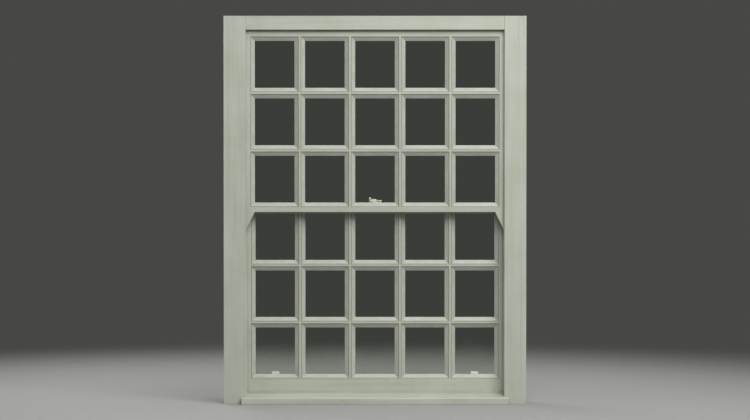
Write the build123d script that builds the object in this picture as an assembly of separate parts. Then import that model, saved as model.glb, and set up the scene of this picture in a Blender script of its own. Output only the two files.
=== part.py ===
from build123d import *
import os
from math import pi, radians, sin, sqrt, tan

# Double hung box sash window, fifteen panes over fifteen, balanced by cords and iron weights.
# Millimetres: X to the right seen from outdoors, Y from outdoors to indoors, Z up.
# The origin is at mid width, on the sill's underside, in the plane of the outer linings' outer
# faces, on which the window is seated.

# Glazing
COLUMNS = 5
ROWS = 3
PANE_W = 181
PANE_H = 214
BAR_W = 48
TONGUE_W = 10
REBATE_D = 16
OVOLO_R = 16
OVOLO_FILLET = 2
GLASS_T = 3
GLASS_PLAY = 2
PUTTY_BACK = 2.5
PUTTY_LAND = 1

# Sashes
SASH_T = 44
STILE_W = 50
TOP_RAIL_H = 60
UPPER_MEETING_H = 42
LOWER_MEETING_H = 50
BOTTOM_RAIL_H = 80
TENON_T = 12
TENON_SHOULDER = 12
HORN_L = 85
HORN_TIP = 8
SPLAY_TOP = 5
SPLAY_SLOPE = 0.1
SPLAY_GAP = 0.4
LIP_PLAY = 2

# Play of the sashes in the case, and the room left at the ends of their travel
SIDE_PLAY = 2.5
FACE_PLAY = 1
SEAT_PLAY = 0.3
TRAVEL_MARGIN = 9

# Case
REVEAL_W = 1226
LINING_T = 20
LINING_OUT = 12
LINING_EDGE_R = 3
LINING_LAP = 12.5
HEAD_RISE = 52
PULLEY_STILE_T = 22
STILE_TONGUE = 6
STILE_TONGUE_T = 8
HOUSING_D = 8
BOX_W = 58
BACK_T = 8
HEAD_T = 22
BLOCK_LEG = 26
BLOCK_L = 70
BLOCKS = 5
BEAD_T = 10
BEAD_OUT = 15
BEAD_IN = 10
BEAD_EDGE_R = 2
STAFF_R = 7
FEATHER_T = 6
FEATHER_PLAY = 3
FEATHER_FOOT = 120

# Sill
NOSE_OUT = 25
NOSE_H = 30
NOSE_R = 6
NOSE_PLAY = 5
WEATHER_DEG = 8
SEAT_DEG = 5
SILL_STEP = 6
DRIP_R = 4
DRIP_IN = 12

# Pockets in the pulley stiles, through which the weights are hung
POCKET_FOOT = 60
POCKET_L = 700
POCKET_PLAY = 0.3
POCKET_MARGIN = 4
POCKET_SPLAY = 11

# Pulleys and cords
CORD_D = 6
CORD_IN = 5
CORD_GROOVE_W = 16
CORD_GROOVE_D = 12
CORD_HOLD = 250
PULLEY_DROP = 110
WHEEL_W = 11
WHEEL_LIP = 3.5
WHEEL_HUB_R = 8
WHEEL_WEB_T = 5
GROOVE_PLAY = 0.2
PIN_R = 3
PIN_PLAY = 0.1
CHEEK_T = 2.5
CHEEK_PLAY = 0.6
CHEEK_R = 12
CHEEK_H = 46
CHEEK_FOOT = 2
PLATE_W = 26
PLATE_H = 110
PLATE_T = 2.5
PLATE_SLOT_PLAY = 1.2
MORTISE_PLAY = 0.5
MORTISE_ROOM = 2.5

# Weights
WEIGHT_PLAY_X = 3
WEIGHT_PLAY_Y = 2
WEIGHT_EDGE_R = 6
WEIGHT_CHAMFER = 3
NECK_R = 11
NECK_H = 30
EYE_R = 3.6
KNOT_R = 5.5
KNOT_ROOM = 14
KNOT_FLOOR = 2
WEIGHT_DROP = 60
WEIGHT_FOOT = 25
BALANCE_KG = 0.2

# Kilograms per cubic millimetre, for the balance of the sashes
TIMBER = 600e-9
GLASS = 2500e-9
PUTTY = 2300e-9
IRON = 7200e-9

# Sash fastener
PIVOT_Y = 21
BASE_L = 64
BASE_W = 28
BASE_T = 3
BOSS_H = 3
ARM_T = 5
ARM_REACH = 31.5
ARM_TIP_R = 4
ARM_HUB_R = 9
ARM_STEM_R = 5
HUB_T = 7
ARM_GAP = 0.1
KNOB_R = 6
KNOB_AT = 23
FASTENER_H = 24
PIVOT_R = 3
PIVOT_HEAD_R = 5
PIVOT_HEAD_T = 2.5
KEEPER_L = 44
KEEPER_T = 2.5
KEEPER_Y = 46
KEEPER_R = 5
HOOK_L = 16
HOOK_T = 3
HOOK_Z = 12
HOOK_IN = 9

# Sash lifts
LIFT_W = 34
LIFT_T = 3
LIFT_R = 11
LIFT_PLATE_L = 46
LIFT_LIP_L = 13
LIFT_ABOVE = 9
LIFT_CORNER_R = 5

# Sizes that follow
rebate_w = (BAR_W - TONGUE_W) / 2
sight_w = COLUMNS * PANE_W + (COLUMNS - 1) * BAR_W
sight_h = ROWS * PANE_H + (ROWS - 1) * BAR_W
sash_w = sight_w + 2 * STILE_W
opening = sash_w / 2 + SIDE_PLAY
box_x = opening + PULLEY_STILE_T
back_x = box_x + BOX_W
case_x = back_x + BACK_T
lining_x = opening - LINING_OUT
bead_x = opening - BEAD_OUT
lip_x = bead_x - LIP_PLAY

upper_y = LINING_T + FACE_PLAY
bead_y = LINING_T + SASH_T + 2 * FACE_PLAY
lower_y = bead_y + BEAD_T + FACE_PLAY
room_y = lower_y + SASH_T + FACE_PLAY
back_y = room_y + LINING_T
mid_y = bead_y + BEAD_T / 2
upper_cord_y = upper_y + SASH_T / 2
lower_cord_y = lower_y + SASH_T / 2


def sill_top(y):
    """Height of the weathered top of the sill at a depth y."""
    if y <= mid_y:
        return NOSE_H + (y + NOSE_OUT) * tan(radians(WEATHER_DEG))
    step = sill_top(mid_y) + SILL_STEP
    return step + (min(y, room_y) - mid_y) * tan(radians(SEAT_DEG))


seat_z = sill_top(back_y)
lower_foot = sill_top(lower_y) + SEAT_PLAY
lower_sight = lower_foot + BOTTOM_RAIL_H
lower_top = lower_sight + sight_h + LOWER_MEETING_H
upper_sight = lower_top
upper_foot = upper_sight - UPPER_MEETING_H
upper_top = upper_sight + sight_h + TOP_RAIL_H
head_z = upper_top + SEAT_PLAY
case_top = head_z + HEAD_RISE

cord_x = opening - CORD_IN
weight_x = box_x + BOX_W / 2
pulley_x = (cord_x + weight_x) / 2
pulley_r = (weight_x - cord_x) / 2
wheel_r = pulley_r + WHEEL_LIP
pulley_z = head_z - PULLEY_DROP


def block(x, y, z):
    """A box given by its limits along each axis."""
    centre = [(side[0] + side[1]) / 2 for side in (x, y, z)]
    return Pos(*centre) * Box(*[side[1] - side[0] for side in (x, y, z)])


def prism_y(points, y0, y1):
    """A solid between y0 and y1 from an outline given as (x, z) points."""
    face = make_face(Polyline(*[(x, y0, z) for x, z in points], close=True))
    return extrude(face, amount=y1 - y0, dir=(0, 1, 0))


def prism_x(points, x0, x1):
    """A solid between x0 and x1 from an outline given as (y, z) points."""
    face = make_face(Polyline(*[(x0, y, z) for y, z in points], close=True))
    return extrude(face, amount=x1 - x0, dir=(1, 0, 0))


def mirrored(solid):
    return mirror(solid, about=Plane.YZ)


def pair(name, right):
    """The right piece and its mirror image, under their names."""
    return {f"{name}_right": right, f"{name}_left": mirrored(right)}


def group(shapes):
    return Compound(children=[solid for shape in shapes for solid in shape.solids()])


# Mouldings of the sashes


def ovolo(u_flat, u_edge):
    """The moulded inner corner, from the straight edge at u_edge to the inner face."""
    start = SASH_T - OVOLO_FILLET - OVOLO_R
    side = 1 if u_flat > u_edge else -1
    rise = OVOLO_R * sin(radians(45))
    mid = (u_edge + side * (OVOLO_R - rise), start + rise)
    end = (u_edge + side * OVOLO_R, start + OVOLO_R)
    curve = ThreePointArc((u_edge, start), mid, end)
    return curve + Line(end, (end[0], SASH_T))


def edge_section(width, moulded=True):
    """Section of a rail or stile: u from the sight line into the timber, v from the outer face."""
    outer = Polyline((width, SASH_T), (width, 0), (rebate_w, 0), (rebate_w, REBATE_D), (0, REBATE_D))
    if not moulded:
        return make_face(outer + Polyline((0, REBATE_D), (0, SASH_T), (width, SASH_T)))
    start = SASH_T - OVOLO_FILLET - OVOLO_R
    inner = Line((0, REBATE_D), (0, start)) + ovolo(width, 0)
    return make_face(outer + inner + Line((OVOLO_R, SASH_T), (width, SASH_T)))


def bar_section():
    """Section of a glazing bar: a tongue between the panes and an ovolo on each side inside."""
    edge = BAR_W / 2
    start = SASH_T - OVOLO_FILLET - OVOLO_R
    steps = [(0, 0), (TONGUE_W / 2, 0), (TONGUE_W / 2, REBATE_D), (edge, REBATE_D), (edge, start)]
    half = make_face(
        Polyline(*steps)
        + ovolo(0, edge)
        + Polyline((edge - OVOLO_R, SASH_T), (0, SASH_T), (0, 0))
    )
    return half + mirror(half, about=Plane.YZ)


def run(section, at, u, length):
    """Extrude a section whose u points along the given direction and whose v points along Y."""
    along = Vector(*u).cross(Vector(0, 1, 0))
    return extrude(Plane(origin=at, x_dir=u, z_dir=along) * section, amount=length)


# Sashes


def splay_y(z):
    """Depth of the splayed joint between the meeting rails at a height z."""
    return bead_y + SPLAY_TOP + (lower_top - z) * SPLAY_SLOPE


def cord_groove(top, y):
    """Groove for the cord in the edge of a right stile."""
    edge = sash_w / 2
    return block(
        (edge - CORD_GROOVE_D, edge + CORD_GROOVE_D),
        (y - CORD_GROOVE_W / 2, y + CORD_GROOVE_W / 2),
        (top - CORD_HOLD, top + CORD_GROOVE_D),
    )


def stile_blank(y, foot, top):
    return run(edge_section(STILE_W), (sight_w / 2, y, foot), (1, 0, 0), top - foot)


def horn(y):
    """Splayed end of an upper stile below the meeting rail."""
    inner = sight_w / 2
    outer = sash_w / 2
    tip = upper_foot - HORN_L
    return prism_y(
        [(inner, upper_foot), (outer, upper_foot), (outer, tip), (outer - HORN_TIP, tip)],
        y,
        y + SASH_T,
    )


def rail(y, edge, height, side, stiles, moulded=True):
    """A rail with through tenons; side is 1 above the glass and -1 below it."""
    reach = sight_w / 2 + rebate_w
    origin = (side * reach, y, edge)
    body = run(edge_section(height, moulded), origin, (0, 0, side), 2 * reach)
    for stile in stiles:
        body -= stile
    low, high = sorted([edge + side * TENON_SHOULDER, edge + side * (height - TENON_SHOULDER)])
    tenon_y = (y + REBATE_D, y + REBATE_D + TENON_T)
    tenons = block((-sash_w / 2, sash_w / 2), tenon_y, (low, high))
    tenons -= block((-sight_w / 2, sight_w / 2), tenon_y, (low, high))
    return body + tenons, tenons


def bars(y, sight, rails, stiles):
    """Upright bars between the rails, and cross bars scribed to them, bay by bay."""
    section = bar_section()
    uprights = []
    for i in range(1, COLUMNS):
        x = -sight_w / 2 + i * (PANE_W + BAR_W) - BAR_W / 2
        bar = run(section, (x, y, sight - rebate_w), (1, 0, 0), sight_h + 2 * rebate_w)
        uprights.append(bar - rails[0] - rails[1])
    crosses = []
    limits = [stiles[0], *uprights, stiles[1]]
    for j in range(1, ROWS):
        z = sight + j * (PANE_H + BAR_W) - BAR_W / 2
        for i in range(COLUMNS):
            right = -sight_w / 2 + i * (PANE_W + BAR_W) + PANE_W + rebate_w
            bar = run(section, (right, y, z), (0, 0, 1), PANE_W + 2 * rebate_w)
            crosses.append(bar - limits[i] - limits[i + 1])
    return uprights, crosses


def pane_centres(sight):
    for j in range(ROWS):
        for i in range(COLUMNS):
            x = -sight_w / 2 + i * (PANE_W + BAR_W) + PANE_W / 2
            yield x, sight + j * (PANE_H + BAR_W) + PANE_H / 2


def glass(y, sight):
    back = y + REBATE_D
    wide = PANE_W / 2 + rebate_w - GLASS_PLAY
    high = PANE_H / 2 + rebate_w - GLASS_PLAY
    return [
        block((x - wide, x + wide), (back - GLASS_T, back), (z - high, z + high))
        for x, z in pane_centres(sight)
    ]


def putty(y, sight):
    """One bead of putty round each pane, bevelled from the glass to the bars' tongues."""
    depth = REBATE_D - GLASS_T - PUTTY_BACK
    wide = PANE_W + 2 * rebate_w
    high = PANE_H + 2 * rebate_w
    plane = Plane(origin=(0, 0, 0), x_dir=(1, 0, 0), z_dir=(0, -1, 0))
    outer = extrude(plane * Rectangle(wide, high), amount=depth)
    low = plane * Rectangle(PANE_W, PANE_H)
    top = plane.offset(depth) * Rectangle(wide - 2 * PUTTY_LAND, high - 2 * PUTTY_LAND)
    bead = outer - loft([low, top])
    front = y + REBATE_D - GLASS_T
    return [Pos(x, front, z) * bead for x, z in pane_centres(sight)]


def upper_sash():
    y = upper_y
    stile = stile_blank(y, upper_foot, upper_top)
    blanks = [mirrored(stile), stile]
    meeting, low_tenons = rail(y, upper_sight, UPPER_MEETING_H, -1, blanks, moulded=False)
    top, high_tenons = rail(y, upper_sight + sight_h, TOP_RAIL_H, 1, blanks)
    uprights, crosses = bars(y, upper_sight, [meeting, top], blanks)
    lip = [
        (y + SASH_T, upper_foot),
        (splay_y(upper_foot) - SPLAY_GAP / 2, upper_foot),
        (splay_y(lower_top) - SPLAY_GAP / 2, lower_top),
        (y + SASH_T, lower_top),
    ]
    groove = cord_groove(upper_top, upper_cord_y)
    stile = stile + horn(y) - low_tenons - high_tenons - groove
    pieces = {
        "upper_top_rail": top - groove - mirrored(groove),
        "upper_meeting_rail": meeting + prism_x(lip, -lip_x, lip_x),
        "upper_upright_bars": group(uprights),
        "upper_cross_bars": group(crosses),
        "upper_panes": group(glass(y, upper_sight)),
        "upper_putty": group(putty(y, upper_sight)),
    }
    return pieces | pair("upper_stile", stile)


def lower_sash(sill):
    y = lower_y
    seat = Pos(0, 0, SEAT_PLAY) * sill
    stile = stile_blank(y, lower_foot, lower_top) - seat
    blanks = [mirrored(stile), stile]
    bottom, low_tenons = rail(y, lower_sight, BOTTOM_RAIL_H, -1, blanks)
    meeting, high_tenons = rail(y, lower_sight + sight_h, LOWER_MEETING_H, 1, blanks)
    uprights, crosses = bars(y, lower_sight, [bottom, meeting], blanks)
    foot = lower_top - LOWER_MEETING_H
    lip = [
        (y, foot),
        (splay_y(foot) + SPLAY_GAP / 2, foot),
        (splay_y(lower_top) + SPLAY_GAP / 2, lower_top),
        (y, lower_top),
    ]
    groove = cord_groove(lower_top, lower_cord_y)
    pieces = {
        "lower_bottom_rail": bottom - seat,
        "lower_meeting_rail": meeting + prism_x(lip, -lip_x, lip_x) - groove - mirrored(groove),
        "lower_upright_bars": group(uprights),
        "lower_cross_bars": group(crosses),
        "lower_panes": group(glass(y, lower_sight)),
        "lower_putty": group(putty(y, lower_sight)),
    }
    return pieces | pair("lower_stile", stile - low_tenons - high_tenons - groove)


# Case


def sill_blank():
    """Weathered sill with a rounded nose and a drip; the nose fits between the reveals."""
    outline = [
        (-NOSE_OUT, 0),
        (-NOSE_OUT, NOSE_H),
        (mid_y, sill_top(mid_y)),
        (mid_y, sill_top(mid_y) + SILL_STEP),
        (room_y, seat_z),
        (back_y, seat_z),
        (back_y, 0),
    ]
    sill = prism_x(outline, -case_x, case_x)
    nose = sill.edges().filter_by(Axis.X).group_by(Axis.Y)[0].sort_by(Axis.Z)[-1]
    sill = fillet(nose, NOSE_R)
    drip = Pos(0, DRIP_IN - NOSE_OUT, 0) * Rot(0, 90, 0) * Cylinder(DRIP_R, 2 * case_x)
    end = block((REVEAL_W / 2 - NOSE_PLAY, case_x), (-NOSE_OUT, 0), (0, seat_z))
    return sill - drip - end - mirrored(end)


def parting_bead():
    """The bead between the two sashes, let into the right pulley stile."""
    bead = block((bead_x, opening + BEAD_IN), (bead_y, bead_y + BEAD_T), (NOSE_H, head_z))
    edges = bead.edges().filter_by(Axis.Z).group_by(Axis.X)[0]
    return fillet(edges, BEAD_EDGE_R)


def head_bead():
    bead = block((-bead_x, bead_x), (bead_y, bead_y + BEAD_T), (head_z - BEAD_OUT, head_z + BEAD_IN))
    edges = bead.edges().filter_by(Axis.X).group_by(Axis.Z)[0]
    return fillet(edges, BEAD_EDGE_R)


def pocket(play):
    """The pocket cover with splayed ends, or with play the opening that it fills."""
    foot = seat_z + POCKET_FOOT
    top = foot + POCKET_L
    outline = [
        (opening, foot - play),
        (opening, top + play),
        (box_x, top - POCKET_SPLAY + play),
        (box_x, foot + POCKET_SPLAY - play),
    ]
    return prism_y(outline, mid_y - play, room_y - POCKET_MARGIN + play)


def pulley_stile():
    """The right pulley stile, tongued to the linings."""
    z = (NOSE_H, head_z + HOUSING_D)
    middle = opening + PULLEY_STILE_T / 2
    tongue = (middle - STILE_TONGUE_T / 2, middle + STILE_TONGUE_T / 2)
    board = block((opening, box_x), (LINING_T, room_y), z)
    return board + block(tongue, (LINING_T - STILE_TONGUE, room_y + STILE_TONGUE), z)


def outer_lining():
    lining = block((lining_x, case_x), (0, LINING_T), (NOSE_H - LINING_LAP, case_top))
    edge = lining.edges().filter_by(Axis.Z).group_by(Axis.X)[0].sort_by(Axis.Y)[0]
    return fillet(edge, LINING_EDGE_R)


def outer_head_lining():
    lining = block((-lining_x, lining_x), (0, LINING_T), (head_z - LINING_OUT, case_top))
    edge = lining.edges().filter_by(Axis.X).group_by(Axis.Z)[0].sort_by(Axis.Y)[0]
    return fillet(edge, LINING_EDGE_R)


def staff_beads():
    """Beads that keep the lower sash in, mitred at the corners and rounded on the inner side."""
    low, high = seat_z, head_z
    out, inn = opening, bead_x
    outline = [(0, 0), (BEAD_OUT, 0), (BEAD_OUT, LINING_T), (0, LINING_T)]
    profile = make_face(Polyline(*outline, close=True))
    corner = profile.vertices().sort_by(lambda v: v.X + v.Y)[-1]
    profile = fillet(corner, STAFF_R)

    def bead(shape, at, u, length):
        moulding = run(profile, at, u, length)
        return prism_y(shape, room_y, back_y) & moulding

    side = [(out, low), (inn, low + BEAD_OUT), (inn, high - BEAD_OUT), (out, high)]
    head = [(out, high), (inn, high - BEAD_OUT), (-inn, high - BEAD_OUT), (-out, high)]
    foot = [(out, low), (inn, low + BEAD_OUT), (-inn, low + BEAD_OUT), (-out, low)]
    right = bead(side, (out, room_y, high), (-1, 0, 0), high - low)
    beads = pair("staff_bead", right)
    beads["staff_bead_head"] = bead(head, (-out, room_y, high), (0, 0, -1), 2 * out)
    beads["staff_bead_sill"] = bead(foot, (out, room_y, low), (0, 0, 1), 2 * out)
    return beads


def angle_blocks():
    """Triangular blocks glued in the two angles between the head and its linings."""
    base = head_z + HEAD_T
    front = [(LINING_T, base), (LINING_T + BLOCK_LEG, base), (LINING_T, base + BLOCK_LEG)]
    back = [(room_y, base), (room_y - BLOCK_LEG, base), (room_y, base + BLOCK_LEG)]
    blocks = []
    for i in range(BLOCKS):
        x = (2 * i + 1 - BLOCKS) * opening / BLOCKS
        blocks += [prism_x(shape, x - BLOCK_L / 2, x + BLOCK_L / 2) for shape in (front, back)]
    return group(blocks)


def case(sill, wheels_at):
    """Every fixed board of the case, and what holds the pulleys."""
    stile = pulley_stile()
    bead = parting_bead() - sill
    plates = [pulley_plate(y) for y in wheels_at]
    for y, plate in zip(wheels_at, plates):
        stile = stile - mortise(y) - plate
    stile = stile - bead - pocket(POCKET_PLAY)
    head = block((-case_x, case_x), (LINING_T, room_y), (head_z, head_z + HEAD_T))
    top_bead = head_bead()
    back = block((back_x, case_x), (LINING_T, room_y), (NOSE_H, head_z))
    outer = outer_lining()
    inner = block((opening, case_x), (room_y, back_y), (seat_z, case_top))
    feather_y = (mid_y - FEATHER_T / 2, mid_y + FEATHER_T / 2)
    feather_x = (box_x + FEATHER_PLAY, back_x - FEATHER_PLAY)
    feather = block(feather_x, feather_y, (seat_z + FEATHER_FOOT, head_z))
    full_stile = pulley_stile()
    housed = sill - full_stile - mirrored(full_stile)
    pieces = {
        "sill": housed,
        "head": head - full_stile - mirrored(full_stile) - top_bead,
        "outer_lining_head": outer_head_lining(),
        "inner_lining_head": block((-opening, opening), (room_y, back_y), (head_z, case_top)),
        "parting_bead_head": top_bead,
        "angle_blocks": angle_blocks(),
    }
    pieces |= pair("pulley_stile", stile)
    pieces |= pair("pocket_cover", pocket(0) - bead)
    pieces |= pair("parting_bead", bead)
    pieces |= pair("outer_lining", outer - sill - full_stile)
    pieces |= pair("inner_lining", inner - full_stile)
    pieces |= pair("back_lining", back - sill)
    pieces |= pair("parting_slip", feather)
    return pieces | staff_beads()


# Pulleys, cords and weights


def pulley_plate(y):
    """Face plate of a pulley case, flush with the track, with rounded ends."""
    face = Plane(origin=(opening, y, pulley_z), x_dir=(0, 0, 1), z_dir=(1, 0, 0))
    return extrude(face * SlotOverall(PLATE_H, PLATE_W), amount=PLATE_T)


def mortise(y):
    half = WHEEL_W / 2 + CHEEK_PLAY + CHEEK_T + MORTISE_PLAY
    tall = wheel_r + MORTISE_ROOM
    return block((opening, box_x), (y - half, y + half), (pulley_z - tall, pulley_z + tall))


def pulley_case(y):
    """Plate with a slot for the wheel, and two cheeks that hold the pin."""
    depth = pulley_x - opening - PLATE_T
    slot_h = 2 * sqrt(wheel_r**2 - depth**2) + 2 * PLATE_SLOT_PLAY
    slot_w = WHEEL_W + 2 * PLATE_SLOT_PLAY
    slot = block(
        (opening - PLATE_T, opening + 2 * PLATE_T),
        (y - slot_w / 2, y + slot_w / 2),
        (pulley_z - slot_h / 2, pulley_z + slot_h / 2),
    )
    root = opening + PLATE_T
    round_end = Pos(pulley_x, pulley_z) * Circle(CHEEK_R)
    foot = Pos(root + CHEEK_FOOT / 2, pulley_z) * Rectangle(CHEEK_FOOT, CHEEK_H)
    shape = make_hull([*round_end.edges(), *foot.edges()])
    shape -= Pos(pulley_x, pulley_z) * Circle(PIN_R)
    inner = WHEEL_W / 2 + CHEEK_PLAY
    cheeks = []
    for side in (y - inner - CHEEK_T, y + inner):
        plane = Plane(origin=(0, side + CHEEK_T, 0), x_dir=(1, 0, 0), z_dir=(0, -1, 0))
        cheeks.append(extrude(plane * shape, amount=CHEEK_T))
    return pulley_plate(y) - slot + cheeks[0] + cheeks[1]


def pulley_pin(y):
    half = WHEEL_W / 2 + CHEEK_PLAY + CHEEK_T
    return Pos(pulley_x, y, pulley_z) * Rot(90, 0, 0) * Cylinder(PIN_R, 2 * half)


def pulley_wheel(y):
    """Turned wheel: bored hub, thin web and a rim with a round groove for the cord."""
    half = WHEEL_W / 2
    groove_r = CORD_D / 2 + GROOVE_PLAY
    rim_in = pulley_r - groove_r - WHEEL_LIP
    bore = PIN_R + PIN_PLAY
    web = WHEEL_WEB_T / 2
    outline = [
        (bore, -half),
        (WHEEL_HUB_R, -half),
        (WHEEL_HUB_R, -web),
        (rim_in, -web),
        (rim_in, -half),
        (wheel_r, -half),
        (wheel_r, half),
        (rim_in, half),
        (rim_in, web),
        (WHEEL_HUB_R, web),
        (WHEEL_HUB_R, half),
        (bore, half),
    ]
    section = make_face(Polyline(*outline, close=True))
    groove = Pos(pulley_r, 0) * Circle(groove_r)
    flare = Pos(pulley_r + WHEEL_LIP, 0) * Rectangle(2 * WHEEL_LIP, 2 * groove_r)
    section = section - groove - flare
    wheel = revolve(section, axis=Axis.Y)
    return Pos(pulley_x, y, pulley_z) * wheel


def cord(y, hold_z, eye_z):
    """Tight cord from its groove in the sash, over the wheel and down to its knot."""
    up = Line((cord_x, y, hold_z), (cord_x, y, pulley_z))
    over = ThreePointArc(
        (cord_x, y, pulley_z), (pulley_x, y, pulley_z + pulley_r), (weight_x, y, pulley_z)
    )
    down = Line((weight_x, y, pulley_z), (weight_x, y, eye_z))
    section = Plane(origin=(cord_x, y, hold_z), z_dir=(0, 0, 1)) * Circle(CORD_D / 2)
    tube = sweep(section, path=up + over + down)
    return tube + Pos(weight_x, y, eye_z) * Sphere(KNOT_R)


def knot_ceiling(top):
    """Height of the top of the knot's hole, in a weight whose neck ends at the given top."""
    return top - NECK_H + KNOT_FLOOR + KNOT_ROOM


def knot_z(top):
    """Height of the knot's middle, where the knot bears on the rim of the eye."""
    return knot_ceiling(top) - sqrt(KNOT_R**2 - EYE_R**2) - SEAT_PLAY


def weight_section():
    wide = BOX_W - 2 * WEIGHT_PLAY_X
    deep = SASH_T + 2 * FACE_PLAY - 2 * WEIGHT_PLAY_Y
    return RectangleRounded(wide, deep, WEIGHT_EDGE_R)


def weight_body_length(mass):
    """Length of the cast body that gives a weight its mass."""
    return mass / IRON / weight_section().area


def weight(y, top, length):
    """Cast weight with rounded edges and an eyed neck."""
    shoulder = top - NECK_H
    body = extrude(Pos(weight_x, y, shoulder - length) * weight_section(), amount=length)
    rims = body.edges().group_by(Axis.Z)
    body = chamfer(rims[0] + rims[-1], WEIGHT_CHAMFER)
    neck = Pos(weight_x, y, shoulder + NECK_H / 2) * Cylinder(NECK_R, NECK_H)
    eye = Pos(weight_x, y, top - NECK_H / 2) * Cylinder(EYE_R, NECK_H)
    ceiling = knot_ceiling(top)
    room = block(
        (weight_x - KNOT_ROOM / 2, weight_x + KNOT_ROOM / 2),
        (y - NECK_R, y + NECK_R),
        (ceiling - KNOT_ROOM, ceiling),
    )
    return body + neck - eye - room


# Hardware


def fastener(y, z):
    """Base, arm, pin and keeper of the sash fastener; the arm is at rest along the rail."""
    centre = Pos(0, y + PIVOT_Y, z)
    bore = Circle(PIVOT_R)
    base = extrude(SlotOverall(BASE_L, BASE_W) - bore, amount=BASE_T)
    boss = Pos(0, 0, BASE_T) * extrude(Circle(ARM_HUB_R) - bore, amount=BOSS_H)
    base_top = BASE_T + BOSS_H + ARM_GAP
    reach = ARM_REACH - ARM_TIP_R
    hub = Circle(ARM_HUB_R)
    tip = Pos(reach, 0) * Circle(ARM_TIP_R)
    stem = Circle(ARM_STEM_R)
    beak = make_hull([*stem.edges(), *tip.edges()])
    tail = make_hull([*stem.edges(), *(Pos(-KNOB_AT, 0) * Circle(ARM_TIP_R)).edges()])
    arm = Pos(0, 0, base_top) * (
        extrude(beak, amount=ARM_T) + extrude(tail, amount=ARM_T) + extrude(hub, amount=HUB_T)
    )
    knob_z = FASTENER_H - KNOB_R
    arm += Pos(-KNOB_AT, 0, (base_top + knob_z) / 2) * Cylinder(ARM_TIP_R, knob_z - base_top)
    arm += Pos(-KNOB_AT, 0, knob_z) * Sphere(KNOB_R)
    arm -= Pos(0, 0, base_top + HUB_T / 2) * Cylinder(PIVOT_R + PIN_PLAY, 2 * HUB_T)
    pin_l = base_top + HUB_T + ARM_GAP
    pin = Pos(0, 0, pin_l / 2) * Cylinder(PIVOT_R, pin_l)
    pin += Pos(0, 0, pin_l + PIVOT_HEAD_T / 2) * Cylinder(PIVOT_HEAD_R, PIVOT_HEAD_T)
    pin = fillet(pin.edges().group_by(Axis.Z)[-1], PIVOT_HEAD_T / 2)
    return {
        "fastener_base": centre * (base + boss),
        "fastener_arm": centre * arm,
        "fastener_pin": centre * pin,
    }


def keeper(z):
    """Plate on the upper meeting rail with a hook that the arm's tip turns under."""
    edge = splay_y(z) - SPLAY_GAP
    plate = block((-KEEPER_L / 2, KEEPER_L / 2), (KEEPER_Y, edge), (z, z + KEEPER_T))
    plate = fillet(plate.edges().filter_by(Axis.Z).group_by(Axis.Y)[0], KEEPER_R)
    wall_y = edge - HOOK_IN
    outline = [
        (wall_y - HOOK_T, z),
        (wall_y, z),
        (wall_y, z + HOOK_Z),
        (edge, z + HOOK_Z),
        (edge, z + HOOK_Z + HOOK_T),
        (wall_y - HOOK_T, z + HOOK_Z + HOOK_T),
    ]
    hook = prism_x(outline, -HOOK_L, 0)
    outer = hook.edges().filter_by(Axis.X).group_by(Axis.Z)[-1].sort_by(Axis.Y)[0]
    return plate + fillet(outer, HOOK_T)


def sash_lift(x, y, top):
    """Hook lift: a plate on the rail whose head is rolled over into a finger hook."""
    centre = (y + LIFT_R, top - LIFT_R)
    inner = LIFT_R - LIFT_T
    outer_arc = ThreePointArc((y, centre[1]), (centre[0], top), (y + 2 * LIFT_R, centre[1]))
    inner_arc = ThreePointArc(
        (centre[0] - inner, centre[1]), (centre[0], centre[1] + inner), (centre[0] + inner, centre[1])
    )
    lip_z = centre[1] - LIFT_LIP_L
    lip = Polyline(
        (y + 2 * LIFT_R, centre[1]),
        (y + 2 * LIFT_R, lip_z),
        (centre[0] + inner, lip_z),
        (centre[0] + inner, centre[1]),
    )
    foot = top - LIFT_PLATE_L
    plate = Polyline((y + LIFT_T, centre[1]), (y + LIFT_T, foot), (y, foot), (y, centre[1]))
    section = make_face(outer_arc + lip + inner_arc + plate)
    plane = Plane(origin=(x - LIFT_W / 2, 0, 0), x_dir=(0, 1, 0), z_dir=(1, 0, 0))
    lift = extrude(plane * section, amount=LIFT_W)
    corners = lift.edges().filter_by(Axis.Y)
    return fillet(corners, LIFT_CORNER_R)


def mass(pieces):
    """Mass of a sash from its timber, glass and putty."""
    kinds = {"panes": GLASS, "putty": PUTTY}
    return sum(
        shape.volume * kinds.get(name.split("_")[-1], TIMBER) for name, shape in pieces.items()
    )


def balance(lower, upper):
    """Wheels, pulley cases, pins, weights and cords, for sashes of these pieces."""
    depths = (upper_cord_y, lower_cord_y)
    cases = [pulley_case(y) for y in depths]
    pins = [pulley_pin(y) for y in depths]
    pieces = {
        "pulley_cases": group(cases + [mirrored(shape) for shape in cases]),
        "pulley_pins": group(pins + [mirrored(shape) for shape in pins]),
    }
    lower_l = weight_body_length(mass(lower) / 2 - BALANCE_KG)
    upper_l = weight_body_length(mass(upper) / 2 + BALANCE_KG)
    lower_weight_top = pulley_z - wheel_r - WEIGHT_DROP
    upper_weight_top = seat_z + WEIGHT_FOOT + upper_l + NECK_H
    for name, y, sash_top, weight_top, length in (
        ("lower", lower_cord_y, lower_top, lower_weight_top, lower_l),
        ("upper", upper_cord_y, upper_top, upper_weight_top, upper_l),
    ):
        hold_z = sash_top - CORD_HOLD
        eye_z = knot_z(weight_top)
        pieces |= pair(f"{name}_pulley_wheel", pulley_wheel(y))
        pieces |= pair(f"{name}_weight", weight(y, weight_top, length))
        pieces |= pair(f"{name}_cord", cord(y, hold_z, eye_z))
        cord_l = (pulley_z - hold_z) + pi * pulley_r + (pulley_z - eye_z)
        print(name, "cord", round(cord_l), "long, bent to a radius of", round(pulley_r, 1))
        print(name, "weight", round(length + NECK_H), "high, its top at", round(weight_top, 1))
    return pieces


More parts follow.
